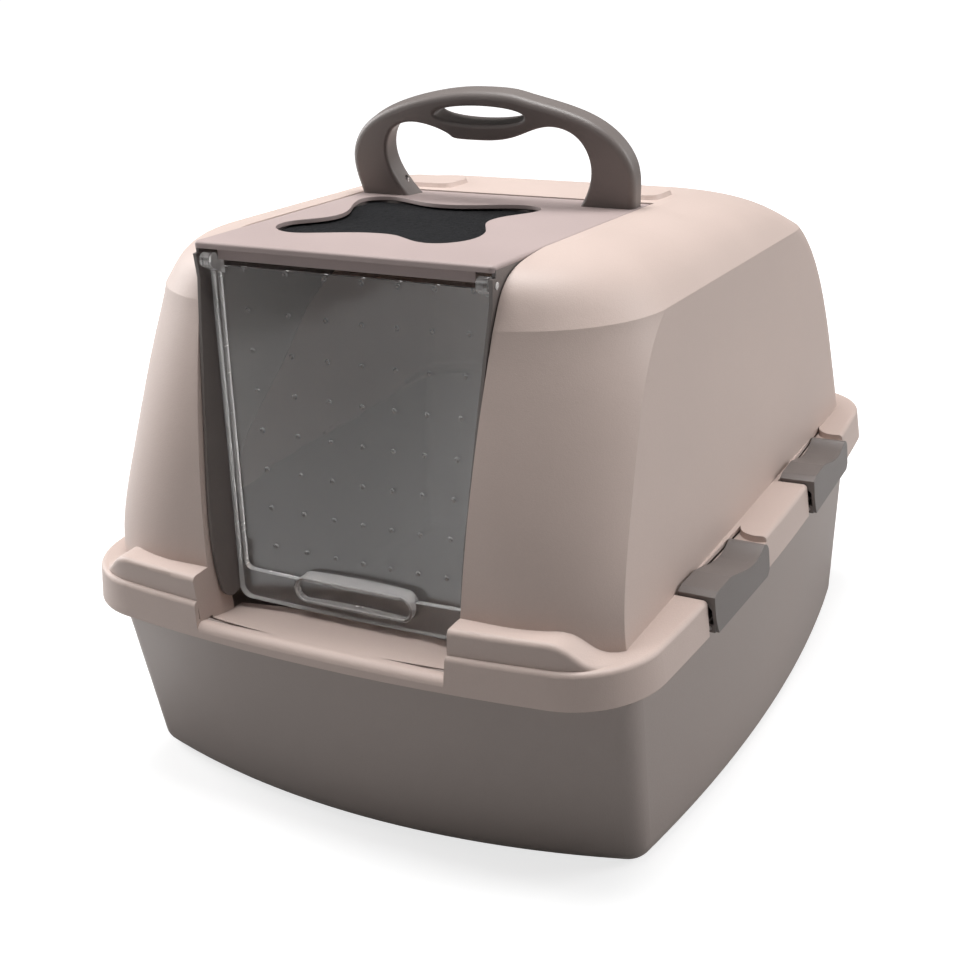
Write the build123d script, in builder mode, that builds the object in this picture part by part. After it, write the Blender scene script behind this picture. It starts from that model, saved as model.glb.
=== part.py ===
from build123d import *
import math
import os

os.makedirs("parts", exist_ok=True)

# Hooded litter box with a lift-up visor.  Millimetres, Z up, front towards -Y,
# origin on the floor under the middle of the box.

# ---- driving dimensions -------------------------------------------------
HALF_W = 232.5          # half width over the skirt
HALF_L = 285.0          # half length over the skirt
TOP_Z = 396.5           # hood top height over the middle of the box
SKIRT_LOW = 148.5       # lower edge of the hood skirt
SKIRT_H = 25.5          # height of the skirt, up to its flange
BLOCK_H = 18.0          # height of the raised blocks beside the entrance
WALL = 3.0              # general wall thickness
SLOPE = 0.0745          # fall of the hood top towards the rear
FRONT_CORNER = 64.0     # rounding of the skirt in plan
REAR_CORNER = 52.0
OPEN_HALF = 101.5       # half width of the entrance, low down at the front
OPEN_REF = 200.0        # height at which it is measured
OPEN_LEAN = 0.062       # widening of the entrance per mm of height
OPEN_FLARE = 0.017      # widening of the entrance per mm towards the rear
OPEN_REAR = 33.0        # rear edge of the roof opening
VISOR_Y = 22.0          # visor hinge axis
VISOR_PIN_R = 4.0
HANDLE_TOP = 87.0       # height of the carrying handle over its feet
LATCH_LEN = 100.0       # length of one side latch
LATCH_Y = (-95.0, 113.0)
PAN_FOOT = 37.0         # how far the pan foot is set back at its two ends
RUN = 0.06              # radial clearance of the running fits

TILT = math.degrees(math.atan(SLOPE))
FLANGE_Z = SKIRT_LOW + SKIRT_H
BLOCK_Z = FLANGE_Z + BLOCK_H
RIM_Z = SKIRT_LOW + 8.5         # top of the pan rim, where the hood sits
SILL_LOW = SKIRT_LOW - 0.5      # lowest level of the scoop under the door
VISOR_Z = TOP_Z - 10.5


def ahead(back):
    """Y of a place this far back from the front of the skirt."""
    return back - HALF_L


def rise(share):
    """Height at a share of the way from the flange to the hood top."""
    return FLANGE_Z + share * (TOP_Z - FLANGE_Z)


DOOR_Y = ahead(78)              # door hinge axis
DOOR_Z = TOP_Z + 2.5
SWEEP_Y = ahead(82)             # middle of the round scoop that the door swings over
DOOR_SWEEP = DOOR_Z - SILL_LOW  # and its radius
OPEN_FRONT = ahead(27)          # where the entrance width is measured


def entrance_half(y, z):
    """Half width of the entrance at one place along the box and one height."""
    return OPEN_HALF + OPEN_LEAN * (z - OPEN_REF) + OPEN_FLARE * (y - OPEN_FRONT)


VISOR_HALF = entrance_half(VISOR_Y, VISOR_Z)
DOOR_HALF = entrance_half(DOOR_Y, DOOR_Z)


def bowed(half_w, half_l, corner_x, corner_y, front_radius, rear_radius):
    """Closed outline of four shallow arcs with rounded corners."""
    with BuildLine() as edge:
        ThreePointArc((-corner_x, -corner_y), (0, -half_l), (corner_x, -corner_y))
        ThreePointArc((corner_x, -corner_y), (half_w, 0), (corner_x, corner_y))
        ThreePointArc((corner_x, corner_y), (0, half_l), (-corner_x, corner_y))
        ThreePointArc((-corner_x, corner_y), (-half_w, 0), (-corner_x, -corner_y))
    make_face(edge.edges())
    corners = vertices().sort_by(Axis.Y)
    fillet(corners[:2], front_radius)
    fillet(vertices().sort_by(Axis.Y)[-2:], rear_radius)


def ring_outline(inset):
    """Skirt outline moved inwards by inset."""
    bowed(
        HALF_W - inset, HALF_L - inset, HALF_W - 12.5 - inset, HALF_L - 18 - inset,
        FRONT_CORNER - inset, REAR_CORNER - inset,
    )


def pan_top(inset):
    """Outline of the pan at its rim, moved inwards by inset."""
    half_w = HALF_W - 6 - inset
    half_l = HALF_L - 7 - inset
    bowed(half_w, half_l, half_w - 16, half_l - 39, 22 - inset, 22 - inset)


def pan_foot(inset):
    """Outline of the pan at the floor, moved inwards by inset."""
    half_w = HALF_W - 9.5 - inset
    half_l = HALF_L - PAN_FOOT - inset
    bowed(half_w, half_l, half_w - 18, half_l - 33, 18 - inset, 18 - inset)


def entrance_prism(y, gap, reach):
    """Everything between the two sides of the entrance, from y to reach in front of it."""
    with BuildPart() as body:
        for place in (y, y - reach):
            low = entrance_half(place, 140) - gap
            high = entrance_half(place, TOP_Z + 35) - gap
            with BuildSketch(Plane.XZ.offset(-place)):
                with BuildLine() as edge:
                    Polyline(
                        (-low, 140), (low, 140), (high, TOP_Z + 35), (-high, TOP_Z + 35),
                        close=True,
                    )
                make_face(edge.edges())
        loft()
    return body.part


# ---- hood cabin sections -------------------------------------------------
# share of the way from the flange to the top (the slope grows with it), front
# and front half width in from the skirt, front corner radius, side and rear in
# from the skirt, rear corner radius, and how far the skin at this level is
# roof (1) rather than wall (0)
LOWER = (
    (-0.03, 24.5, 4.0, 100, 29.1, 25, 34, 0.0),
    (0.25, 33.0, 11.5, 100, 33.3, 34, 36, 0.0),
    (0.52, 47.5, 25.5, 100, 37.4, 44, 42, 0.0),
    (0.725, 61.5, 35.5, 100, 40.5, 63, 50, 0.1),
    (0.83, 69.0, 42.0, 96, 42.1, 85, 56, 0.35),
)
UPPER = (
    LOWER[-1],
    (0.885, 73.0, 50.5, 94, 50.5, 102, 60, 0.5),
    (0.945, 78.5, 64.5, 90, 64.5, 128, 60, 0.72),
    (0.98, 87.0, 82.5, 84, 82.5, 153, 58, 0.9),
    (1.0, 103.0, 106.5, 74, 106.5, 183, 52, 1.0),
)


def cabin_outline(row, skin):
    """One level of the cabin, moved inwards by skin."""
    front = ahead(row[1] + skin)
    half = HALF_W - row[2] - skin
    rad = row[3] - skin
    side = HALF_W - row[4] - skin
    rear = HALF_L - row[5] - skin
    rrad = row[6] - skin
    cx = half - rad
    cy = front + rad
    end = math.acos(min(1.0, (side - cx) / rad))
    mid = (end + math.pi / 2) / 2
    p0 = (cx, front)
    p1 = (cx + rad * math.cos(mid), cy - rad * math.sin(mid))
    p2 = (cx + rad * math.cos(end), cy - rad * math.sin(end))
    q = rrad * math.sqrt(0.5)
    r0 = (side, rear - rrad)
    r1 = (side - rrad + q, rear - rrad + q)
    r2 = (side - rrad, rear)
    with BuildLine() as edge:
        Line((-p0[0], p0[1]), p0)
        ThreePointArc(p0, p1, p2)
        Line(p2, r0)
        ThreePointArc(r0, r1, r2)
        Line(r2, (-r2[0], r2[1]))
        ThreePointArc((-r2[0], r2[1]), (-r1[0], r1[1]), (-r0[0], r0[1]))
        Line((-r0[0], r0[1]), (-p2[0], p2[1]))
        ThreePointArc((-p2[0], p2[1]), (-p1[0], p1[1]), (-p0[0], p0[1]))
    make_face(edge.edges())


def level(row, drop):
    """Plane of one cabin level."""
    return Plane((0, 0, rise(row[0]) - drop)).rotated((-TILT * row[0], 0, 0))


def cabin_solid(skin):
    """Solid cabin with every surface moved inwards by skin."""
    with BuildPart() as body:
        for rows in (LOWER, UPPER):
            for row in rows:
                roof = row[7]
                with BuildSketch(level(row, skin * roof)):
                    cabin_outline(row, skin * max(0.1, math.sqrt(1 - roof * roof)))
            loft()
    return body.part


roof_plane = level(UPPER[-1], 0)
cabin = cabin_solid(0)
cabin_void = cabin_solid(WALL)
cabin_deep = cabin_solid(14)

# ---- hood -----------------------------------------------------------------
with BuildPart() as skirt:
    with BuildSketch(Plane.XY.offset(SKIRT_LOW)):
        ring_outline(0)
    with BuildSketch(Plane.XY.offset(FLANGE_Z)):
        ring_outline(2.5)
    loft()
    fillet(skirt.faces().sort_by(Axis.Z)[-1].edges(), 3.5)


def block_profile(drop):
    """Front view of the blocks beside the entrance, lowered by drop."""
    inner = OPEN_HALF - 6.5
    flat = HALF_W - 67
    outer = HALF_W - 30
    for side in (-1, 1):
        with BuildLine() as edge:
            Polyline(
                (side * outer, FLANGE_Z - 8), (side * inner, FLANGE_Z - 8),
                (side * inner, BLOCK_Z - drop), (side * flat, BLOCK_Z - drop),
            )
            Spline(
                (side * flat, BLOCK_Z - drop),
                (side * (flat + outer) / 2, (BLOCK_Z + FLANGE_Z) / 2 - drop),
                (side * outer, FLANGE_Z - drop),
                tangents=((side, 0), (side, 0)),
            )
            Line((side * outer, FLANGE_Z - drop), (side * outer, FLANGE_Z - 8))
        make_face(edge.edges())


def block_solid(skin):
    """Both blocks, moved inwards by skin."""
    with BuildPart() as body:
        with BuildSketch(Plane.XZ.offset(-ahead(80))):
            block_profile(skin)
        extrude(amount=90)
        with BuildSketch(Plane.XY.offset(FLANGE_Z - 8)):
            ring_outline(5.5 + skin)
        extrude(amount=BLOCK_H + 20, mode=Mode.INTERSECT)
    return body.part


with BuildPart() as skirt_void:
    with BuildSketch(Plane.XY.offset(SKIRT_LOW - 1)):
        ring_outline(WALL)
    with BuildSketch(Plane.XY.offset(FLANGE_Z - WALL)):
        ring_outline(2.5 + WALL)
    loft()

# everything the door and visor need free: the entrance and the roof opening
with BuildPart() as entrance:
    add(entrance_prism(OPEN_REAR, 0, OPEN_REAR + HALF_L + 20))
    with BuildSketch(Plane.YZ):
        with Locations((SWEEP_Y, DOOR_Z)):
            Circle(DOOR_SWEEP)
        with Locations(((SWEEP_Y + OPEN_REAR) / 2, TOP_Z)):
            Rectangle(OPEN_REAR - SWEEP_Y + 20, 40)
    extrude(amount=OPEN_HALF + 40, both=True, mode=Mode.INTERSECT)

# walls standing round the entrance and along the roof opening
with BuildPart() as jamb:
    add(entrance_prism(OPEN_REAR + WALL, -WALL, OPEN_REAR + HALF_L + 20))
    add(entrance_prism(OPEN_REAR, 0, OPEN_REAR + HALF_L + 30), mode=Mode.SUBTRACT)
    add(cabin, mode=Mode.INTERSECT)
    add(cabin_deep, mode=Mode.SUBTRACT)

with BuildPart() as jamb_foot:
    add(entrance_prism(ahead(47), -WALL, 52))
    add(entrance_prism(ahead(46), 0, 54), mode=Mode.SUBTRACT)
    with BuildSketch(Plane.XY.offset(SKIRT_LOW)):
        ring_outline(5.5)
    extrude(amount=BLOCK_Z - 1 - SKIRT_LOW, mode=Mode.INTERSECT)

# sill: a scoop that follows the sweep of the door
with BuildPart() as sill:
    with BuildSketch(Plane.YZ):
        with Locations((SWEEP_Y, DOOR_Z)):
            Circle(DOOR_SWEEP + WALL)
            Circle(DOOR_SWEEP, mode=Mode.SUBTRACT)
    extrude(amount=entrance_half(OPEN_FRONT, 155) + 1.5, both=True)
    with BuildSketch(Plane.XY.offset(SKIRT_LOW - 8)):
        with BuildLine():
            Polyline(
                (-OPEN_HALF, ahead(58)), (-OPEN_HALF, ahead(-5)), (OPEN_HALF, ahead(-5)),
                (OPEN_HALF, ahead(58)),
            )
            ThreePointArc((OPEN_HALF, ahead(58)), (0, ahead(70)), (-OPEN_HALF, ahead(58)))
        make_face()
    extrude(amount=40, mode=Mode.INTERSECT)
    with BuildSketch(Plane.XY.offset(SKIRT_LOW - 8)):
        ring_outline(1.5)
    extrude(amount=40, mode=Mode.INTERSECT)

# shelf inside the skirt that sits on the pan rim
with BuildPart() as shelf:
    with BuildSketch(Plane.XY.offset(RIM_Z)):
        ring_outline(2)
    extrude(amount=WALL)
    with BuildSketch(Plane.XY.offset(RIM_Z)):
        bowed(HALF_W - 14.5, HALF_L - 14, HALF_W - 27, HALF_L - 32, 46, 38)
    extrude(amount=WALL, mode=Mode.SUBTRACT)

SILL_ROLL = 6.0         # rounding of the sill's front edge
BLOCK_ROUND = 4.0       # rounding of the blocks beside the entrance

# ---- side latches: positions shared by hood, pan, latches and pins --------
LATCH_TURN = 1.9        # latches follow the bow of the skirt, degrees
LATCH_X = HALF_W - 1.5  # skirt half width at the latches
END_ROOM = 1.5          # gap between a latch and the flange ends beside it
PIN_R = 1.6             # latch pin radius
PIN_X = -3.0            # pin centre, measured outwards from LATCH_X
PIN_Z = SKIRT_LOW + 3.5
LEDGE_X = -15.0         # outer edge of the ledge that a latch grips, from LATCH_X
KNUCKLE_Y = 26.0        # middle of a pan knuckle, from the middle of the latch
KNUCKLE_LEN = 14.0
KNUCKLE_R = 3.1
FLANGE_ROUND = 4.0      # rounding of the flange ends beside a latch
POCKET_DEEP = 5.0       # pocket in the flange under each latch hook
POCKET_X = -11.5        # its middle, from LATCH_X
POCKET_W = 30.0
DISH_LEN = 16.0         # how far it runs on behind the latch


def latch_plane(side, y, z):
    """Frame at one latch: x outwards, z up."""
    turn = math.radians(LATCH_TURN if y < 0 else -LATCH_TURN)
    out = (side * math.cos(turn), -math.sin(turn), 0)
    return Plane(origin=(side * LATCH_X, y, z), x_dir=out, z_dir=(0, 0, 1))


def latch_section(side, y, along):
    """Cross-section of a latch at a distance along it: x outwards, y up."""
    seat = latch_plane(side, y, 0)
    return Plane(
        origin=seat.from_local_coords(Vector(0, along, 0)), x_dir=seat.x_dir, z_dir=-seat.y_dir,
    )


LATCH_SEATS = [(side, y) for side in (1, -1) for y in LATCH_Y]
NOTCH_LEN = LATCH_LEN + 2 * END_ROOM


def notch_outline(grow):
    """Plan of one latch notch; the flange ends beside it are rounded."""
    half = NOTCH_LEN / 2
    with Locations((LEDGE_X - grow + 20, 0)):
        Rectangle(40, NOTCH_LEN + 2 * grow)
    for end in (1, -1):
        with Locations((-FLANGE_ROUND / 2, end * (half + FLANGE_ROUND / 2))):
            Rectangle(FLANGE_ROUND, FLANGE_ROUND)
        with Locations((-FLANGE_ROUND, end * (half + FLANGE_ROUND))):
            Circle(FLANGE_ROUND, mode=Mode.SUBTRACT)


def pocket_outline(side):
    """Plan of the pocket under a latch hook; behind the latch it ends round the flange."""
    half = NOTCH_LEN / 2
    with Locations((POCKET_X, side * DISH_LEN / 2)):
        Rectangle(POCKET_W, NOTCH_LEN + DISH_LEN)
    with Locations((POCKET_X, side * (half + DISH_LEN + 3))):
        Circle(POCKET_W / 2, mode=Mode.SUBTRACT)


# walls that close the hollow flange round each notch and dish
with BuildPart() as notch_walls:
    for side, y in LATCH_SEATS:
        with BuildSketch(latch_plane(side, y, RIM_Z)):
            notch_outline(WALL)
        extrude(amount=FLANGE_Z - RIM_Z)
        with BuildSketch(latch_plane(side, y, FLANGE_Z - POCKET_DEEP - WALL)):
            with Locations((POCKET_X, side * DISH_LEN / 2)):
                Rectangle(POCKET_W, NOTCH_LEN + DISH_LEN + 2 * WALL)
        extrude(amount=POCKET_DEEP + WALL)
    add(skirt.part, mode=Mode.INTERSECT)

# room for the pan wall and rim under the hood
with BuildPart() as rim_room:
    with BuildSketch(Plane.XY.offset(SKIRT_LOW - 10)):
        ring_outline(WALL + 0.9)
    extrude(amount=RIM_Z - SKIRT_LOW + 10)
    with BuildSketch(Plane.XY.offset(SKIRT_LOW - 10)):
        pan_top(6.5)
    extrude(amount=RIM_Z - SKIRT_LOW + 10, mode=Mode.SUBTRACT)

with BuildPart() as hood:
    add(cabin)
    add(skirt.part)
    add(block_solid(0))
    add(cabin_void, mode=Mode.SUBTRACT)
    add(skirt_void.part, mode=Mode.SUBTRACT)
    add(block_solid(WALL), mode=Mode.SUBTRACT)
    add(shelf.part)
    add(jamb.part)
    add(jamb_foot.part)
    add(entrance.part, mode=Mode.SUBTRACT)
    add(sill.part)
    add(notch_walls.part)
    add(rim_room.part, mode=Mode.SUBTRACT)
    for side, y in LATCH_SEATS:
        with BuildSketch(latch_plane(side, y, SKIRT_LOW - 5)):
            notch_outline(0)
        extrude(amount=SKIRT_H + 10, mode=Mode.SUBTRACT)
        with BuildSketch(latch_plane(side, y, FLANGE_Z - POCKET_DEEP)):
            pocket_outline(side)
        extrude(amount=POCKET_DEEP + 1, mode=Mode.SUBTRACT)
    # ears under the roof that carry the visor pins
    for side in (1, -1):
        with BuildSketch(Plane.YZ.offset(side * (VISOR_HALF + 2))):
            with Locations((VISOR_Y, VISOR_Z - 1)):
                Rectangle(20, 16)
        extrude(amount=side * 8)
        with BuildSketch(Plane.YZ.offset(side * (VISOR_HALF - 2))):
            with Locations((VISOR_Y, VISOR_Z)):
                Circle(VISOR_PIN_R)
        extrude(amount=side * 13, mode=Mode.SUBTRACT)
    # low pads behind the handle
    for side in (1, -1):
        with BuildSketch(roof_plane.offset(-1)):
            with Locations((side * 88, 62)):
                RectangleRounded(58, 40, 12)
        extrude(amount=4.5, taper=20)

    # the sill rolls over into the skirt, and the blocks are rounded on top
    rolled = hood.edges().filter_by(
        lambda e: e.length > 1.8 * OPEN_HALF and e.bounding_box().min.Y < ahead(8)
        and RIM_Z + 2 < e.center().Z < FLANGE_Z - 8
    )
    fillet(rolled, SILL_ROLL)
    block_edges = hood.edges().filter_by(
        lambda e: e.length > 40 and e.center().Y < ahead(24)
        and e.bounding_box().max.Z > BLOCK_Z - 0.5
    )
    fillet(block_edges, BLOCK_ROUND)

# ---- pan --------------------------------------------------------------------
PAN_ROUND = 14.0        # rounding along the floor, outside and inside
PAN_ROUND_IN = 12.0

with BuildPart() as pan:
    with BuildSketch(Plane.XY):
        pan_foot(0)
    with BuildSketch(Plane.XY.offset(RIM_Z)):
        pan_top(0)
    loft()
    fillet(pan.faces().sort_by(Axis.Z)[0].edges(), PAN_ROUND)
    with BuildSketch(Plane.XY.offset(RIM_Z - 4)):
        ring_outline(4)
    extrude(amount=4)
    with BuildSketch(Plane.XY.offset(WALL)):
        pan_foot(WALL)
    with BuildSketch(Plane.XY.offset(RIM_Z)):
        pan_top(WALL)
    pan_void = loft(mode=Mode.PRIVATE)
    pan_void = pan_void.fillet(PAN_ROUND_IN, pan_void.faces().sort_by(Axis.Z)[0].edges())
    add(pan_void, mode=Mode.SUBTRACT)
    # the rim is cut back at each latch, and two knuckles carry its pin
    for side, y in LATCH_SEATS:
        with BuildSketch(latch_plane(side, y, RIM_Z - 4.6)):
            Rectangle(13, LATCH_LEN + 2)
        extrude(amount=6, mode=Mode.SUBTRACT)
        for end in (1, -1):
            with BuildSketch(latch_section(side, y, end * KNUCKLE_Y + KNUCKLE_LEN / 2)):
                with Locations((PIN_X, PIN_Z)):
                    Circle(KNUCKLE_R)
                with Locations((PIN_X - 3, PIN_Z)):
                    Rectangle(6, 2 * KNUCKLE_R)
            extrude(amount=KNUCKLE_LEN)
        with BuildSketch(latch_section(side, y, LATCH_LEN / 2)):
            with Locations((PIN_X, PIN_Z)):
                Circle(PIN_R)
        extrude(amount=LATCH_LEN, mode=Mode.SUBTRACT)

# ---- visor: roof panel with two side cheeks under it --------------------------
PANEL_FRONT = ahead(73.5)
PANEL_REAR = OPEN_REAR - 3.5
LIP = 4.5               # depth of the turned-down edge
HEADER = 10.0           # depth of the rib over the door, below the panel
CHEEK = 2.5             # cheek thickness
CHEEK_GAP = 0.8         # gap between cheek and entrance edge
WIDE = VISOR_HALF / 117.792     # the outlines on the panel follow its width
FILTER_X = -19.0 * WIDE # middle of the filter opening
FILTER_Y = -84.0
TRAY_W = 166.0 * WIDE
TRAY_L = 158.0
TRAY_AXIS_Y = 1.0       # tray hinge, measured along the roof
TRAY_AXIS_W = -10.0     # tray hinge, below the roof surface
TRAY_LUG_X = 76.0 * WIDE    # hinge lugs, either side of FILTER_X
TRAY_PIN_R = 1.6
DOOR_PIN_R = 2.5        # stub pins of the door


# the outline of both cheeks, seen from the side
with BuildPart() as cheek_side:
    with BuildSketch(Plane.YZ):
        with BuildLine():
            Spline(
                (ahead(35), SKIRT_LOW + 23), (ahead(33.5), SKIRT_LOW + 51),
                (ahead(37.5), rise(0.26)), (ahead(47), rise(0.46)), (ahead(60), rise(0.72)),
                (DOOR_Y - 5.5, rise(0.96)),
            )
            Polyline(
                (DOOR_Y - 5.5, rise(0.96)), (DOOR_Y - 5.5, DOOR_Z + 5),
                (PANEL_FRONT + 3, DOOR_Z + 5), (PANEL_FRONT + 3, TOP_Z + 30),
                (PANEL_REAR - 3, TOP_Z + 30), (PANEL_REAR - 3, rise(0.89)),
            )
            Spline(
                (PANEL_REAR - 3, rise(0.89)), (ahead(265), rise(0.81)), (ahead(221), rise(0.77)),
                (ahead(195), rise(0.72)), (ahead(163), rise(0.62)), (ahead(125), rise(0.51)),
                (ahead(89), rise(0.4)), (ahead(69), rise(0.26)), (ahead(61), SKIRT_LOW + 41),
                (ahead(60), SKIRT_LOW + 29),
            )
            ThreePointArc(
                (ahead(60), SKIRT_LOW + 29), (ahead(48), SKIRT_LOW + 14),
                (ahead(35), SKIRT_LOW + 23),
            )
        make_face()
    extrude(amount=OPEN_HALF + 40, both=True)

cheek_room = entrance_prism(OPEN_REAR, CHEEK_GAP, OPEN_REAR + HALF_L)
cheek_inside = entrance_prism(OPEN_REAR + 1, CHEEK_GAP + CHEEK, OPEN_REAR + HALF_L + 2)
ledge_inside = entrance_prism(OPEN_REAR + 1, CHEEK_GAP + CHEEK + 6, OPEN_REAR + HALF_L + 2)

with BuildPart() as ledges:
    with BuildSketch(roof_plane.offset(-WALL)):
        with Locations((0, (PANEL_FRONT + 30) / 2)):
            Rectangle(2 * VISOR_HALF + 20, -70 - PANEL_FRONT)
    extrude(amount=-2)
    add(cheek_room, mode=Mode.INTERSECT)
    add(ledge_inside, mode=Mode.SUBTRACT)

# both cheeks, each with a ledge that is glued under the panel
with BuildPart() as cheeks:
    add(cheek_room)
    add(cheek_inside, mode=Mode.SUBTRACT)
    add(cheek_side.part, mode=Mode.INTERSECT)
    with BuildSketch(roof_plane.offset(-WALL)):
        Rectangle(3 * HALF_W, 3 * HALF_L)
    extrude(amount=60, mode=Mode.SUBTRACT)
    add(ledges.part)
    for side in (1, -1):
        with BuildSketch(Plane.YZ.offset(side * (VISOR_HALF - 7))):
            with Locations((VISOR_Y, VISOR_Z)):
                Circle(VISOR_PIN_R + 2)
        extrude(amount=side * 5)
        with BuildSketch(Plane.YZ.offset(side * (VISOR_HALF - 10))):
            with Locations((VISOR_Y, VISOR_Z)):
                Circle(VISOR_PIN_R + RUN)
        extrude(amount=side * 12, mode=Mode.SUBTRACT)
        with BuildSketch(Plane.YZ.offset(side * (DOOR_HALF - 10))):
            with Locations((DOOR_Y, DOOR_Z)):
                Circle(DOOR_PIN_R + RUN)
        extrude(amount=side * 12, mode=Mode.SUBTRACT)


def spread(points):
    """Points of an outline on the panel, fitted to its width."""
    return [(x * WIDE, y) for x, y in points]


def filter_outline():
    """Four-lobed opening; the lobes point to the corners of the panel."""
    with BuildLine() as edge:
        Spline(
            *spread([
                (-77, -42), (-72, -64), (-52, -77), (-30, -71), (-3, -60), (22, -60),
                (42, -72), (60, -77), (75, -66), (79, -44), (70, -18), (58, 6), (58, 24),
                (67, 44), (72, 60), (63, 74), (44, 76), (14, 64), (-20, 61), (-48, 73),
                (-66, 77), (-79, 69), (-79, 53), (-70, 31), (-60, 8), (-59, -12), (-68, -28),
            ]),
            periodic=True,
        )
    make_face(edge.edges())


FOOT_X = (79.0 * WIDE, 103.0 * WIDE)    # screw positions in each handle foot
FOOT_Y = 11.0
SCREW_R = 1.8
SCREWS = [(side * x, FOOT_Y) for side in (-1, 1) for x in FOOT_X]

tray_axis = roof_plane.from_local_coords(Vector(0, TRAY_AXIS_Y, TRAY_AXIS_W))
tray_plane = roof_plane.shift_origin(
    roof_plane.from_local_coords(Vector(FILTER_X, FILTER_Y, 0))
)

with BuildPart() as visor:
    with BuildSketch(roof_plane):
        with Locations((0, (PANEL_FRONT + PANEL_REAR) / 2)):
            Rectangle(2 * VISOR_HALF + 20, PANEL_REAR - PANEL_FRONT)
    extrude(amount=-LIP)
    add(cheek_room, mode=Mode.INTERSECT)
    corners = visor.edges().group_by(SortBy.LENGTH)[0].sort_by(Axis.Y)
    fillet(corners[:2], 4)
    fillet(visor.faces().sort_by(SortBy.AREA)[-1].edges(), 2)
    with BuildSketch(roof_plane.offset(-WALL)):
        with Locations((0, (PANEL_FRONT + PANEL_REAR) / 2)):
            Rectangle(2 * VISOR_HALF + 20, PANEL_REAR - PANEL_FRONT - 5)
    extrude(amount=-LIP, mode=Mode.SUBTRACT)
    # solid floor under the handle feet
    with BuildSketch(roof_plane.offset(-WALL + 0.5)):
        for side in (1, -1):
            with Locations((side * 90 * WIDE, FOOT_Y)):
                Rectangle(40 * WIDE, 22)
    extrude(amount=-3)
    # rib that closes the gap over the door
    with BuildSketch(roof_plane.offset(-WALL + 0.5)):
        with Locations((0, PANEL_FRONT + 7)):
            Rectangle(2 * DOOR_HALF - 32, 2)
    extrude(amount=-HEADER)
    # lugs for the filter tray
    for x in (FILTER_X - TRAY_LUG_X, FILTER_X + TRAY_LUG_X):
        with BuildSketch(Plane.YZ.offset(x - 3)):
            with Locations((tray_axis.Y, tray_axis.Z)):
                Circle(4)
            with Locations((tray_axis.Y, tray_axis.Z + 4)):
                Rectangle(8, 8)
        extrude(amount=6)
        with BuildSketch(Plane.YZ.offset(x - 4)):
            with Locations((tray_axis.Y, tray_axis.Z)):
                Circle(TRAY_PIN_R)
        extrude(amount=8, mode=Mode.SUBTRACT)
    with BuildSketch(tray_plane.offset(1)):
        filter_outline()
    extrude(amount=-6, mode=Mode.SUBTRACT)
    with BuildSketch(roof_plane.offset(-8)):
        with Locations(*SCREWS):
            Circle(SCREW_R + 0.4)
    extrude(amount=10, mode=Mode.SUBTRACT)

# ---- handle -------------------------------------------------------------------
HANDLE_LEAN = math.radians(12)
HANDLE_ROUND = 5.0      # rounding of the outer edges
handle_plane = Plane(
    origin=(0, FOOT_Y, TOP_Z - 0.8),
    x_dir=(1, 0, 0),
    z_dir=(0, -math.cos(HANDLE_LEAN), -math.sin(HANDLE_LEAN)),
)

with BuildPart() as handle:
    with BuildSketch(handle_plane):
        with BuildLine():
            Spline(
                *spread([
                    (114.5, -6), (117, 14), (117, 32), (104, 55.5), (74, 73), (40, 82.5),
                    (0, HANDLE_TOP),
                ]),
                tangents=((0.05, 1), (-1, 0)),
            )
            Spline(
                *spread([
                    (0, HANDLE_TOP), (-40, 82.5), (-74, 73), (-104, 55.5), (-117, 32),
                    (-117, 14), (-114.5, -6),
                ]),
                tangents=((-1, 0), (0.05, -1)),
            )
            Line((-114.5 * WIDE, -6), (114.5 * WIDE, -6))
        make_face()
        with BuildLine():
            Spline(
                *spread([
                    (0, 50), (28, 54), (57, 62.5), (76, 56), (85, 34), (80, 14), (66, -7),
                ]),
                tangents=((1, 0), (-0.75, -1)),
            )
            Line((66 * WIDE, -7), (-66 * WIDE, -7))
            Spline(
                *spread([
                    (-66, -7), (-80, 14), (-85, 34), (-76, 56), (-57, 62.5), (-28, 54),
                    (0, 50),
                ]),
                tangents=((-0.75, 1), (1, 0)),
            )
        make_face(mode=Mode.SUBTRACT)
        with Locations((0, 69.5)):
            Ellipse(37, 7.2, mode=Mode.SUBTRACT)
    extrude(amount=9, both=True)
    fillet(handle.edges().group_by(SortBy.LENGTH)[-1], HANDLE_ROUND)
    fillet(handle.edges().filter_by(lambda e: 90 < e.length < 320), 2.5)
    split(bisect_by=roof_plane, keep=Keep.TOP)
    with BuildSketch(roof_plane):
        with Locations(*SCREWS):
            Circle(SCREW_R)
    extrude(amount=14, mode=Mode.SUBTRACT)

with BuildPart() as handle_screws:
    with BuildSketch(roof_plane.offset(-WALL - 2.5)):
        with Locations(*SCREWS):
            Circle(SCREW_R)
    extrude(amount=18)
    with BuildSketch(roof_plane.offset(-WALL - 2.5)):
        with Locations(*SCREWS):
            Circle(3.8)
    extrude(amount=-2.4)
    with BuildSketch(roof_plane.offset(-WALL - 4.9)):
        with Locations(*SCREWS):
            Rectangle(5, 1)
            Rectangle(1, 5)
    extrude(amount=1.4, mode=Mode.SUBTRACT)


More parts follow.
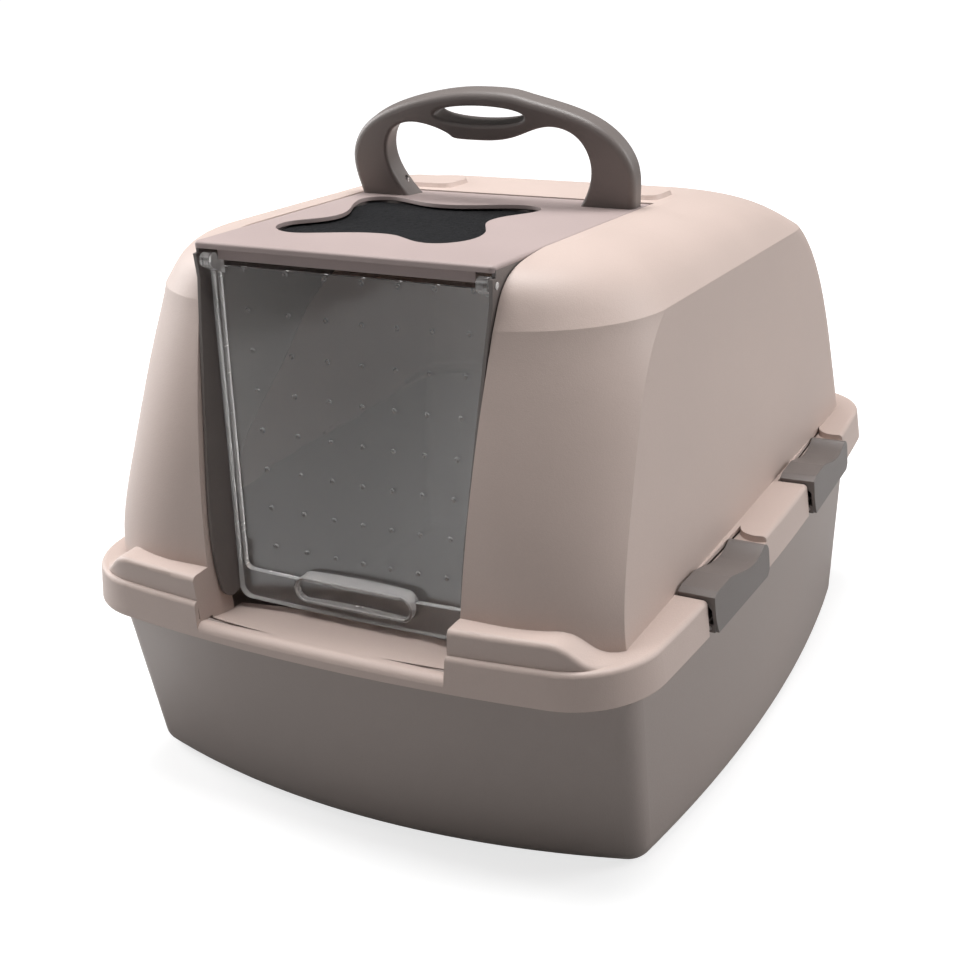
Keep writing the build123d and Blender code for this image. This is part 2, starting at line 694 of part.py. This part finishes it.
# ---- flap door ------------------------------------------------------------------
DOOR_LEAN = 8.73        # degrees the door leans, bottom edge forward
DOOR_GAP = CHEEK_GAP + CHEEK + 1.0     # gap from the entrance edge to the door edge
DOOR_PANEL = 2.4
DOOR_RIM = 5.5          # how far the rim stands in front of the middle of the panel
DOOR_TOP = TOP_Z - 8.3
DOOR_LOW = SILL_LOW + 4
DOOR_LEN = TOP_Z - SKIRT_LOW + 12
DOOR_BOW = 9.0          # how far the sides stand forward of the middle
SLOT_W = 97.0           # finger grip
SLOT_H = 20.0
SLOT_Z = DOOR_LOW + 19
SLOT_X = -2.0
SLOT_WALL = 2.5
SLOT_FRONT = ahead(56)  # its front edge
DOT_R = 2.7
DOT_HIGH = 0.8          # how far the dots stand proud
PLATE_Z = TOP_Z + 1.5    # where the panel plane is measured from
lean = math.radians(DOOR_LEAN)
door_plane = Plane(
    origin=(0, DOOR_Y + 26, PLATE_Z),
    x_dir=(1, 0, 0),
    z_dir=(0, -math.sin(lean), -math.cos(lean)),
)


def bow_band(back, front):
    """Curved strip in plan, seen down the door."""
    far = 126
    rise = DOOR_BOW * (far / 88) ** 2
    with BuildLine() as edge:
        ThreePointArc((-far, rise + back), (0, back), (far, rise + back))
        Line((far, rise + back), (far, rise + front))
        ThreePointArc((far, rise + front), (0, front), (-far, rise + front))
        Line((-far, rise + front), (-far, rise + back))
    make_face(edge.edges())


def door_half(z):
    """Half width of the door at height z."""
    return entrance_half(DOOR_Y - (DOOR_Z - z) * math.tan(lean), z) - DOOR_GAP


def door_edge(inset, foot, top, corner):
    """Door outline seen from the front; its top edge is arched."""
    low = DOOR_LOW + foot
    wide = door_half(top) - inset
    narrow = door_half(low) - inset
    with BuildLine() as edge:
        ThreePointArc((wide, top + 4), (0, top), (-wide, top + 4))
        Line((-wide, top + 4), (-narrow, low + 7))
        ThreePointArc((-narrow, low + 7), (0, low), (narrow, low + 7))
        Line((narrow, low + 7), (wide, top + 4))
    make_face(edge.edges())
    corners = vertices().sort_by(Axis.Y)
    fillet(corners[:2], corner)


with BuildPart() as door_recess:
    with BuildSketch(door_plane):
        bow_band(DOOR_PANEL / 2, 9)
    extrude(amount=DOOR_LEN)
    with BuildSketch(Plane.XZ.offset(-ahead(135))):
        door_edge(5, 21, DOOR_TOP + 6, 7)
    extrude(amount=130, mode=Mode.INTERSECT)

with BuildPart() as grip_limit:
    with BuildSketch(door_plane):
        bow_band(-DOOR_PANEL / 2, 40)
    extrude(amount=DOOR_LEN)

# raised ring of the finger grip, closed behind by the door panel
with BuildPart() as grip:
    with BuildSketch(Plane.XZ.offset(-SLOT_FRONT)):
        with Locations((SLOT_X, SLOT_Z)):
            SlotOverall(SLOT_W, SLOT_H)
            SlotOverall(SLOT_W - 2 * SLOT_WALL, SLOT_H - 2 * SLOT_WALL, mode=Mode.SUBTRACT)
    extrude(amount=-40)
    add(grip_limit.part, mode=Mode.INTERSECT)
    fillet(grip.faces().sort_by(Axis.Y)[0].edges(), 0.9)

DOT_ROWS = 8
DOT_SIDE = 3            # columns of dots on each side of the middle one
dot_top = DOOR_TOP - 3.6
dot_pitch = (dot_top - SLOT_Z - 20.8) / (DOT_ROWS - 1)
DOTS = []
for row in range(DOT_ROWS):
    for column in range(-DOT_SIDE, DOT_SIDE + 1):
        up = dot_top - dot_pitch * row + column ** 2 / 2.7
        outermost = (0.817 - 0.0145 * row) * door_half(up)
        widening = (1 + 0.0041 * column ** 2) / (1 + 0.0041 * DOT_SIDE ** 2)
        DOTS.append((outermost * widening * column / DOT_SIDE, up))

# domed dots, sunk into the front of the panel
with BuildPart() as dots:
    seats = []
    for across, up in DOTS:
        down = (PLATE_Z - up) / math.cos(lean)
        forward = DOOR_BOW * (across / 88) ** 2 + DOOR_PANEL / 2
        at = door_plane.from_local_coords(Vector(across, forward + DOT_HIGH, down))
        seats.append(Plane(origin=at, x_dir=(1, 0, 0), z_dir=door_plane.y_dir))
    with Locations(*seats):
        Sphere(DOT_R, arc_size1=35, align=(Align.CENTER, Align.CENTER, Align.MAX))

with BuildPart() as door:
    with BuildSketch(door_plane):
        bow_band(-DOOR_PANEL / 2, DOOR_RIM)
    extrude(amount=DOOR_LEN)
    with BuildSketch(Plane.XZ.offset(-ahead(135))):
        door_edge(0, 0, DOOR_TOP, 10)
    extrude(amount=130, mode=Mode.INTERSECT)
    add(door_recess.part, mode=Mode.SUBTRACT)
    add(grip.part)
    # hinge ears and stub pins
    for side in (1, -1):
        with BuildSketch(Plane.YZ.offset(side * (DOOR_HALF - 13))):
            with Locations((DOOR_Y, DOOR_Z)):
                Circle(5)
            with BuildLine() as web:
                Polyline(
                    (DOOR_Y - 2, DOOR_Z - 5), (DOOR_Y + 11, DOOR_Z - 12), (DOOR_Y + 11, DOOR_Z - 3),
                    (DOOR_Y, DOOR_Z + 5), close=True,
                )
            make_face(web.edges())
        extrude(amount=side * 8)
        with BuildSketch(Plane.YZ.offset(side * (DOOR_HALF - 6))):
            with Locations((DOOR_Y, DOOR_Z)):
                Circle(DOOR_PIN_R)
        extrude(amount=side * 5.5)
    add(dots.part)

# ---- filter pad in its drop-down tray --------------------------------------------
TRAY_TOP = -WALL - 0.4  # top of the tray walls, below the roof surface
TRAY_FLOOR = TRAY_TOP - 10  # underside of the tray
PAD_GAP = 0.5

with BuildPart() as filter_tray:
    with BuildSketch(tray_plane.offset(TRAY_FLOOR)):
        RectangleRounded(TRAY_W, TRAY_L, 8)
    extrude(amount=TRAY_TOP - TRAY_FLOOR)
    with BuildSketch(tray_plane.offset(TRAY_FLOOR + 2)):
        RectangleRounded(TRAY_W - 4, TRAY_L - 4, 6)
    extrude(amount=12, mode=Mode.SUBTRACT)
    with BuildSketch(tray_plane.offset(TRAY_FLOOR - 1)):
        with GridLocations(18, 0, 9, 1):
            SlotOverall(TRAY_L - 34, 9, rotation=90)
    extrude(amount=4, mode=Mode.SUBTRACT)
    # hinge arms beside the lugs of the visor
    for side in (1, -1):
        with BuildSketch(Plane.YZ.offset(FILTER_X + side * (TRAY_LUG_X - 3.4))):
            with Locations((tray_axis.Y, tray_axis.Z)):
                Circle(4)
            with Locations((tray_axis.Y - 4, tray_axis.Z)):
                Rectangle(8, 6)
        extrude(amount=-side * 8)
        with BuildSketch(Plane.YZ.offset(FILTER_X + side * (TRAY_LUG_X - 2))):
            with Locations((tray_axis.Y, tray_axis.Z)):
                Circle(TRAY_PIN_R + RUN)
        extrude(amount=-side * 11, mode=Mode.SUBTRACT)
    # finger tab under the front
    with BuildSketch(tray_plane.offset(TRAY_FLOOR)):
        with Locations((0, -TRAY_L / 2 + 2)):
            Rectangle(36, 2)
    extrude(amount=-4)

with BuildPart() as filter_pad:
    with BuildSketch(tray_plane.offset(TRAY_FLOOR + 2)):
        RectangleRounded(TRAY_W - 4 - 2 * PAD_GAP, TRAY_L - 4 - 2 * PAD_GAP, 5.5)
    extrude(amount=8)

# ---- side latches ------------------------------------------------------------------
LATCH_LOW = SKIRT_LOW   # lower edge of a latch
LATCH_HIGH = FLANGE_Z + 4.8     # top at its front end
LATCH_MID = FLANGE_Z + 0.8      # and along its rear half
HOOK_Z = FLANGE_Z - POCKET_DEEP + 0.3
LATCH_IN = -25.0        # inner edge of the hook, from LATCH_X
LATCH_OUT = 3.2         # outer face, from LATCH_X
END_GAP = 0.4           # gap between neighbouring knuckles


def latch_body(side, y):
    """One clip: outer wall, hook over the flange and hinge knuckles."""
    seat = latch_plane(side, y, 0)
    half = LATCH_LEN / 2
    section = latch_section(side, y, half)
    face = Plane(
        origin=seat.from_local_coords(Vector(-40, 0, 0)), x_dir=seat.y_dir, z_dir=seat.x_dir,
    )
    inner_end = KNUCKLE_Y - KNUCKLE_LEN / 2 - END_GAP
    outer_end = KNUCKLE_Y + KNUCKLE_LEN / 2 + END_GAP
    spans = ((-inner_end, inner_end), (outer_end, half - 2), (2 - half, -outer_end))
    with BuildPart() as body:
        with BuildSketch(section):
            with BuildLine():
                Polyline(
                    (LATCH_IN, HOOK_Z), (LATCH_IN, LATCH_HIGH),
                    (LATCH_OUT - 1.5, LATCH_HIGH), (LATCH_OUT, LATCH_LOW),
                    (LATCH_OUT - 2.8, LATCH_LOW), (LATCH_OUT - 3.4, HOOK_Z - 3),
                    (LATCH_OUT - 6.4, HOOK_Z), close=True,
                )
            make_face()
        extrude(amount=LATCH_LEN)
        with BuildSketch(face):
            with BuildLine():
                Spline(
                    (-side * half, LATCH_HIGH - 2.5), (side * (6 - half), LATCH_HIGH),
                    (-side * 8, LATCH_MID + 0.6), (side * (half - 9), LATCH_MID),
                )
                ThreePointArc(
                    (side * (half - 9), LATCH_MID), (side * (half - 2.6), LATCH_MID - 2.6),
                    (side * half, LATCH_MID - 9),
                )
                Polyline(
                    (side * half, LATCH_MID - 9), (side * half, LATCH_LOW + 4),
                    (side * (half - 4), LATCH_LOW), (side * (4.5 - half), LATCH_LOW),
                )
                Spline(
                    (side * (4.5 - half), LATCH_LOW), (side * (1 - half), LATCH_LOW + 10),
                    (-side * half, LATCH_HIGH - 2.5),
                )
            make_face()
        extrude(amount=60, mode=Mode.INTERSECT)
        for start, stop in spans:
            with BuildSketch(latch_section(side, y, stop)):
                with Locations((PIN_X, PIN_Z)):
                    Circle(KNUCKLE_R)
                with Locations(((PIN_X + LATCH_OUT - 2) / 2, PIN_Z)):
                    Rectangle(LATCH_OUT - 2 - PIN_X, 2 * KNUCKLE_R)
            extrude(amount=stop - start)
        with BuildSketch(section):
            with Locations((PIN_X, PIN_Z)):
                Circle(PIN_R + RUN)
        extrude(amount=LATCH_LEN, mode=Mode.SUBTRACT)
    return body.part


def latch_pin_body(side, y):
    """Steel pin through one row of knuckles."""
    half = LATCH_LEN / 2 - 2
    with BuildPart() as body:
        with BuildSketch(latch_section(side, y, half)):
            with Locations((PIN_X, PIN_Z)):
                Circle(PIN_R)
        extrude(amount=2 * half)
    return body.part


# ---- hinge pins of the visor and of the filter tray ---------------------------------
def cross_pin(start, stop, y, z, radius):
    """Pin along X."""
    with BuildPart() as body:
        with BuildSketch(Plane.YZ.offset(start)):
            with Locations((y, z)):
                Circle(radius)
        extrude(amount=stop - start)
    return body.part


def save(part, name):
    """Label one finished piece and write it."""
    part.label = name
    export_step(part, "parts/" + name + ".step")


save(pan.part, "pan")
save(hood.part, "hood")
save(visor.part, "visor")
save(handle.part, "handle")
save(handle_screws.part, "handle_screws")
save(door.part, "door")
for piece, side_name in zip(cheeks.part.solids().sort_by(Axis.X), ("left", "right")):
    save(piece, "cheek_" + side_name)
save(filter_tray.part, "filter_tray")
save(filter_pad.part, "filter_pad")
for side, side_name in ((-1, "left"), (1, "right")):
    for y, end_name in zip(LATCH_Y, ("front", "rear")):
        save(latch_body(side, y), "latch_" + end_name + "_" + side_name)
        save(latch_pin_body(side, y), "latch_pin_" + end_name + "_" + side_name)
    save(
        cross_pin(
            side * (VISOR_HALF - 6), side * (VISOR_HALF + 10), VISOR_Y, VISOR_Z, VISOR_PIN_R,
        ),
        "visor_pin_" + side_name,
    )
    save(
        cross_pin(
            FILTER_X + side * (TRAY_LUG_X - 12), FILTER_X + side * (TRAY_LUG_X + 3.5),
            tray_axis.Y, tray_axis.Z, TRAY_PIN_R,
        ),
        "tray_pin_" + side_name,
    )
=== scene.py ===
import math

import bpy
from mathutils import Matrix, Vector, noise


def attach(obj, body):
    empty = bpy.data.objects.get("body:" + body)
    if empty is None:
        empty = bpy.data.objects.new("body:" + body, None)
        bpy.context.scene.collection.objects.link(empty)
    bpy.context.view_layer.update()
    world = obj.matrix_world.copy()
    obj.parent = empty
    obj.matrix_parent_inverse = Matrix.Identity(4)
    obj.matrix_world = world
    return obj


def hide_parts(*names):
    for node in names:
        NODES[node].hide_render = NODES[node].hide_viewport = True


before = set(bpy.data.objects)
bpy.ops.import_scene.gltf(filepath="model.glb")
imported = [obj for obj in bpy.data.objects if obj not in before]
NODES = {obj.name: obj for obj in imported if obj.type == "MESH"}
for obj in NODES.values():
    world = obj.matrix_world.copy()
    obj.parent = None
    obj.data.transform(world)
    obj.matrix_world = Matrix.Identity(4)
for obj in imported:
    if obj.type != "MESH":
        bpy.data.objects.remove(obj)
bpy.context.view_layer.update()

# ---- camera ---------------------------------------------------------------
# Angles as in a turntable view: 0 looks along +Y, with +X to the right.
CAMERA_AT = Vector((0.5576, -1.0225, 0.6667))
AZIMUTH = math.radians(29.66)
ELEVATION = math.radians(23.09)
ROLL = math.radians(-3.75)
LENS = 58.87            # mm
SENSOR = 36.0           # mm


def add_camera():
    back = Vector((
        math.sin(AZIMUTH) * math.cos(ELEVATION),
        -math.cos(AZIMUTH) * math.cos(ELEVATION),
        math.sin(ELEVATION),
    ))
    level = Vector((math.cos(AZIMUTH), math.sin(AZIMUTH), 0))
    upright = back.cross(level)
    right = level * math.cos(ROLL) + upright * math.sin(ROLL)
    up = upright * math.cos(ROLL) - level * math.sin(ROLL)
    data = bpy.data.cameras.new("camera")
    data.sensor_fit = "HORIZONTAL"
    data.sensor_width = SENSOR
    data.lens = LENS
    camera = bpy.data.objects.new("camera", data)
    bpy.context.scene.collection.objects.link(camera)
    camera.matrix_world = Matrix((
        (right.x, up.x, back.x, CAMERA_AT.x),
        (right.y, up.y, back.y, CAMERA_AT.y),
        (right.z, up.z, back.z, CAMERA_AT.z),
        (0, 0, 0, 1),
    ))
    bpy.context.scene.camera = camera


# ---- materials --------------------------------------------------------------
class Graph:
    """Small helper that adds and joins shader nodes."""

    def __init__(self, name):
        self.material = bpy.data.materials.new(name)
        self.material.use_nodes = True
        self.tree = self.material.node_tree
        self.shader = self.tree.nodes["Principled BSDF"]
        self.output = self.tree.nodes["Material Output"]

    def add(self, kind, inputs=None, **settings):
        node = self.tree.nodes.new("ShaderNode" + kind)
        for key, value in settings.items():
            setattr(node, key, value)
        for key, value in (inputs or {}).items():
            if isinstance(value, bpy.types.NodeSocket):
                self.tree.links.new(value, node.inputs[key])
            else:
                node.inputs[key].default_value = value
        return node

    def place(self):
        return self.add("TexCoord").outputs["Object"]

    def noise(self, vector, scale, detail=3.0, rough=0.5):
        node = self.add("TexNoise", {"Vector": vector, "Scale": scale, "Detail": detail,
                                     "Roughness": rough})
        return node.outputs["Fac"]

    def ramp(self, value, low, high, out_low=0.0, out_high=1.0):
        node = self.add("MapRange", {"Value": value, "From Min": low, "From Max": high,
                                     "To Min": out_low, "To Max": out_high})
        return node.outputs["Result"]

    def math(self, operation, a, b=0.0):
        return self.add("Math", {0: a, 1: b}, operation=operation).outputs[0]

    def mix(self, factor, a, b):
        node = self.add("Mix", {0: factor, 6: a, 7: b}, data_type="RGBA")
        return node.outputs[2]

    def bump(self, height, distance, strength=1.0, normal=None):
        inputs = {"Height": height, "Distance": distance, "Strength": strength}
        if normal is not None:
            inputs["Normal"] = normal
        return self.add("Bump", inputs).outputs["Normal"]

    def set(self, **values):
        for key, value in values.items():
            socket = self.shader.inputs[key.replace("_", " ")]
            if isinstance(value, bpy.types.NodeSocket):
                self.tree.links.new(value, socket)
            else:
                socket.default_value = value


def shade(colour, factor):
    return (colour[0] * factor, colour[1] * factor, colour[2] * factor, 1)


def moulded_plastic(name, colour, roughness, grain=1.0, edge=0.0007):
    """Matt moulded plastic: spark-eroded grain, faint flow clouds, edges lightened in patches as
    a painted highlight, fine dust.
    """
    g = Graph(name)
    at = g.place()
    rounded = g.add("Bevel", {"Radius": edge}, samples=6).outputs["Normal"]
    flat = g.add("NewGeometry").outputs["Normal"]
    turned = g.add("VectorMath", {0: rounded, 1: flat}, operation="DOT_PRODUCT").outputs["Value"]
    on_edge = g.ramp(turned, 0.985, 0.80)
    clouds = g.noise(at, 9.0, 4.0, 0.55)
    speckle = g.noise(at, 900.0, 2.0, 0.6)
    base = g.mix(g.ramp(clouds, 0.3, 0.7), shade(colour, 0.965), shade(colour, 1.03))
    base = g.mix(g.ramp(speckle, 0.35, 0.65, 0.0, 0.35), base, shade(colour, 0.93))
    # Painted highlight: every edge is lightened in patches, standing in for the light its
    # rounding catches.
    painted_edge_highlight = g.math("MULTIPLY", on_edge, g.ramp(g.noise(at, 60.0, 3.0), 0.35, 0.7, 0.1, 0.55))
    base = g.mix(painted_edge_highlight, base, shade(colour, 1.22))
    scuff_at = g.add("Mapping", {"Vector": at, "Rotation": (0.3, 0.2, 0.6),
                                 "Scale": (14, 160, 60)}).outputs["Vector"]
    scuffs = g.ramp(g.noise(scuff_at, 1.0, 5.0, 0.7), 0.70, 0.78)
    dull = g.ramp(clouds, 0.25, 0.75, roughness - 0.05, roughness + 0.06)
    dull = g.math("ADD", dull, g.math("MULTIPLY", scuffs, -0.09))
    grain_high = g.add("TexVoronoi", {"Vector": at, "Scale": 1500.0}).outputs["Distance"]
    normal = g.bump(grain_high, 0.00012 * grain, 0.5, rounded)
    normal = g.bump(g.noise(at, 420.0, 3.0, 0.6), 0.00022 * grain, 0.35, normal)
    g.set(Base_Color=base, Roughness=dull, Normal=normal, IOR=1.49)
    return g.material


def clear_plastic():
    """Clear polystyrene: moulding ripples, wipe marks, and edges and dots whitened, hazier and
    less clear as painted glints.
    """
    g = Graph("clear_plastic")
    at = g.place()
    ripple = g.noise(at, 16.0, 2.0)
    wipe_at = g.add("Mapping", {"Vector": at, "Rotation": (0, 0.5, 0), "Scale": (8, 8, 260)})
    wipes = g.noise(wipe_at.outputs["Vector"], 1.0, 6.0, 0.7)
    flat = g.add("NewGeometry").outputs["Normal"]
    square = g.add("VectorMath", {0: flat, 1: DOOR_FACE}, operation="DOT_PRODUCT")
    turned = g.math("ABSOLUTE", square.outputs["Value"])
    # Painted glint: where the surface turns away from the panel's face, on dots, rim and grip,
    # it is made whiter, hazier and less clear.
    painted_glint = g.ramp(turned, 0.96, 0.72)
    haze = g.math("ADD", g.ramp(wipes, 0.45, 0.75, 0.03, 0.10), g.math("MULTIPLY", painted_glint, 0.2))
    tint = g.mix(g.noise(at, 30.0), (0.95, 0.935, 0.925, 1), (0.90, 0.885, 0.87, 1))
    tint = g.mix(painted_glint, tint, (0.97, 0.95, 0.94, 1))
    normal = g.bump(ripple, 0.0006, 0.25)
    normal = g.bump(wipes, 0.00003, 0.3, normal)
    clear = g.ramp(painted_glint, 0.0, 1.0, 0.985, 0.62)
    g.set(Base_Color=tint, Roughness=haze, Normal=normal, IOR=1.49, Transmission_Weight=clear,
          Specular_IOR_Level=0.35)
    return g.material


def filter_felt():
    """Black needled felt: matted short fibres with paler dust."""
    g = Graph("filter_felt")
    at = g.place()
    fibres = g.add("TexNoise", {"Vector": at, "Scale": 700.0, "Detail": 6.0, "Roughness": 0.75,
                                "Distortion": 2.2}).outputs["Fac"]
    tufts = g.noise(at, 170.0, 4.0, 0.7)
    base = g.mix(g.ramp(fibres, 0.35, 0.7), (0.006, 0.006, 0.007, 1), (0.022, 0.022, 0.024, 1))
    dust = g.ramp(g.noise(at, 1300.0, 2.0), 0.68, 0.80, 0.0, 0.5)
    base = g.mix(dust, base, (0.07, 0.07, 0.07, 1))
    height = g.math("ADD", fibres, g.math("MULTIPLY", tufts, 1.6))
    g.set(Base_Color=base, Roughness=g.ramp(fibres, 0.3, 0.8, 0.8, 1.0),
          Normal=g.bump(height, 0.0012, 0.9), Specular_IOR_Level=0.2)
    return g.material


def drawn_steel():
    """Bright drawn wire for pins and screws."""
    g = Graph("drawn_steel")
    at = g.place()
    lines = g.add("Mapping", {"Vector": at, "Scale": (4000, 4000, 200)}).outputs["Vector"]
    streaks = g.noise(lines, 1.0, 4.0, 0.7)
    base = g.mix(g.ramp(streaks, 0.3, 0.7), (0.46, 0.46, 0.47, 1), (0.62, 0.61, 0.60, 1))
    g.set(Base_Color=base, Metallic=1.0, Roughness=g.ramp(streaks, 0.3, 0.7, 0.28, 0.42),
          Normal=g.bump(streaks, 0.00005, 0.4))
    return g.material


DOOR_FACE = (0.0, -0.9884, -0.1518)     # which way the door panel faces
HOOD_COLOUR = (0.61, 0.49, 0.44)
VISOR_COLOUR = (0.45, 0.36, 0.345)
PAN_COLOUR = (0.37, 0.31, 0.285)
DARK_COLOUR = (0.185, 0.160, 0.150)

MATERIALS = {
    "hood": moulded_plastic("hood_plastic", HOOD_COLOUR, 0.50),
    "visor": moulded_plastic("visor_plastic", VISOR_COLOUR, 0.50),
    "pan": moulded_plastic("pan_plastic", PAN_COLOUR, 0.46),
    "dark": moulded_plastic("dark_plastic", DARK_COLOUR, 0.42),
    "door": clear_plastic(),
    "felt": filter_felt(),
    "steel": drawn_steel(),
}


def material_of(node):
    if node in ("hood", "visor", "pan", "door"):
        return MATERIALS[node]
    if node == "filter_pad":
        return MATERIALS["felt"]
    if node == "handle_screws" or node.startswith(("latch_pin", "tray_pin")):
        return MATERIALS["steel"]
    # The handle and latches are dark plastic. On the cheeks beside the door this dark colour is
    # painted shade: it stands in for the shade there.
    return MATERIALS["dark"]


for name, piece in NODES.items():
    piece.data.materials.clear()
    piece.data.materials.append(material_of(name))


# ---- filter pad -----------------------------------------------------------------
FELT_VOXEL = 0.0016     # mesh size of the felt
FELT_SMOOTH = 6         # rounds that soften its cut edges
FELT_INSET = 0.0003     # keeps the felt clear of its tray
FELT_PILE = 0.0011      # depth of its matted surface
FELT_WAVE = 0.0007      # depth of its slow dents


def add_felt():
    """Needled felt pad: soft cut edges, slow dents and a matted pile, inside its CAD solid."""
    felt = bpy.data.objects.new("felt_pad", NODES["filter_pad"].data.copy())
    bpy.context.scene.collection.objects.link(felt)
    remesh = felt.modifiers.new("remesh", "REMESH")
    remesh.mode = "VOXEL"
    remesh.voxel_size = FELT_VOXEL
    smooth = felt.modifiers.new("smooth", "SMOOTH")
    smooth.factor = 0.5
    smooth.iterations = FELT_SMOOTH
    seen = felt.evaluated_get(bpy.context.evaluated_depsgraph_get())
    mesh = bpy.data.meshes.new_from_object(seen)
    felt.modifiers.clear()
    felt.data = mesh
    moves = []
    for vertex in mesh.vertices:
        fine = 0.5 + 0.5 * noise.fractal(vertex.co * 420, 0.9, 2.1, 4)
        slow = 0.5 + 0.5 * noise.noise(vertex.co * 45)
        depth = FELT_INSET + FELT_PILE * min(max(fine, 0), 1) + FELT_WAVE * slow
        moves.append(vertex.co - vertex.normal * depth)
    for vertex, place in zip(mesh.vertices, moves):
        vertex.co = place
    mesh.materials.clear()
    mesh.materials.append(MATERIALS["felt"])
    mesh.shade_smooth()
    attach(felt, "filter_body")
    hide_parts("filter_pad")


add_felt()


# ---- floor, world and lamps ---------------------------------------------------
FLOOR_REACH = 12.0
FLOOR_TONES = ((0.44, 0.44, 0.44, 1), (0.46, 0.46, 0.46, 1))
GLOW_NEAR, GLOW_FAR = 0.45, 1.3         # distances over which the glow grows to white
GLOW_LOW = 0.74
MIRROR_FROM, MIRROR_TO = -0.24, -0.30   # x over which gloss starts to show the glow
MIRROR_LOW = 0.1


def add_floor():
    """Pale studio floor that ends in white: its glow shows to the camera, through clear
    pieces and in reflections, where it is strongest left of the box."""
    mesh = bpy.data.meshes.new("floor")
    reach = FLOOR_REACH
    mesh.from_pydata(
        [(-reach, -reach, 0), (reach, -reach, 0), (reach, reach, 0), (-reach, reach, 0)],
        [], [(0, 1, 2, 3)],
    )
    floor = bpy.data.objects.new("floor", mesh)
    bpy.context.scene.collection.objects.link(floor)
    g = Graph("floor")
    at = g.place()
    tone = g.mix(g.noise(at, 3.0), *FLOOR_TONES)
    away = g.add("VectorMath", {0: at}, operation="LENGTH").outputs["Value"]
    glow = g.ramp(away, GLOW_NEAR, GLOW_FAR, GLOW_LOW, 1.0)
    path = g.add("LightPath")
    seen = g.math("MAXIMUM", path.outputs["Is Camera Ray"], path.outputs["Is Transmission Ray"])
    sideways = g.add("SeparateXYZ", {0: at}).outputs["X"]
    mirrored = g.math("MULTIPLY", path.outputs["Is Glossy Ray"],
                      g.ramp(sideways, MIRROR_FROM, MIRROR_TO, MIRROR_LOW, 1.0))
    glow = g.math("MULTIPLY", glow, g.math("MAXIMUM", seen, mirrored))
    g.set(Base_Color=tone, Roughness=0.8, Emission_Color=(1, 1, 1, 1),
          Emission_Strength=glow)
    mesh.materials.append(g.material)


WORLD_LIGHT = 0.10
WHITE = (1, 1, 1, 1)


def add_world():
    """White behind the object, soft light on it."""
    world = bpy.data.worlds.new("studio")
    bpy.context.scene.world = world
    world.use_nodes = True
    tree = world.node_tree
    tree.nodes.clear()
    path = tree.nodes.new("ShaderNodeLightPath")
    light = tree.nodes.new("ShaderNodeBackground")
    light.inputs["Color"].default_value = WHITE
    light.inputs["Strength"].default_value = WORLD_LIGHT
    white = tree.nodes.new("ShaderNodeBackground")
    white.inputs["Color"].default_value = WHITE
    white.inputs["Strength"].default_value = 1.0
    mix = tree.nodes.new("ShaderNodeMixShader")
    out = tree.nodes.new("ShaderNodeOutputWorld")
    seen = tree.nodes.new("ShaderNodeMath")
    seen.operation = "MAXIMUM"
    tree.links.new(path.outputs["Is Camera Ray"], seen.inputs[0])
    tree.links.new(path.outputs["Is Transmission Ray"], seen.inputs[1])
    tree.links.new(seen.outputs[0], mix.inputs[0])
    tree.links.new(light.outputs[0], mix.inputs[1])
    tree.links.new(white.outputs[0], mix.inputs[2])
    tree.links.new(mix.outputs[0], out.inputs["Surface"])


# name, place, aim, size in metres, power in watts
LAMPS = (
    ("left", (-2.2, 0.0, 1.1), (0, 0, 0.25), (1.0, 1.4), 37),
    ("right", (2.1, 1.2, 1.1), (0, 0, 0.2), (1.0, 1.4), 28),
    ("top", (0.0, -0.05, 2.2), (0, -0.05, 0.3), (1.3, 1.1), 48),
)


def add_lamp(name, at, towards, size, power):
    data = bpy.data.lights.new(name, "AREA")
    data.shape = "RECTANGLE"
    data.size, data.size_y = size
    data.energy = power
    lamp = bpy.data.objects.new(name, data)
    bpy.context.scene.collection.objects.link(lamp)
    lamp.location = at
    aim = Vector(towards) - Vector(at)
    lamp.rotation_euler = aim.to_track_quat("-Z", "Y").to_euler()


add_camera()
add_floor()
add_world()
for lamp_row in LAMPS:
    add_lamp(*lamp_row)

bpy.context.scene.view_settings.view_transform = "Standard"
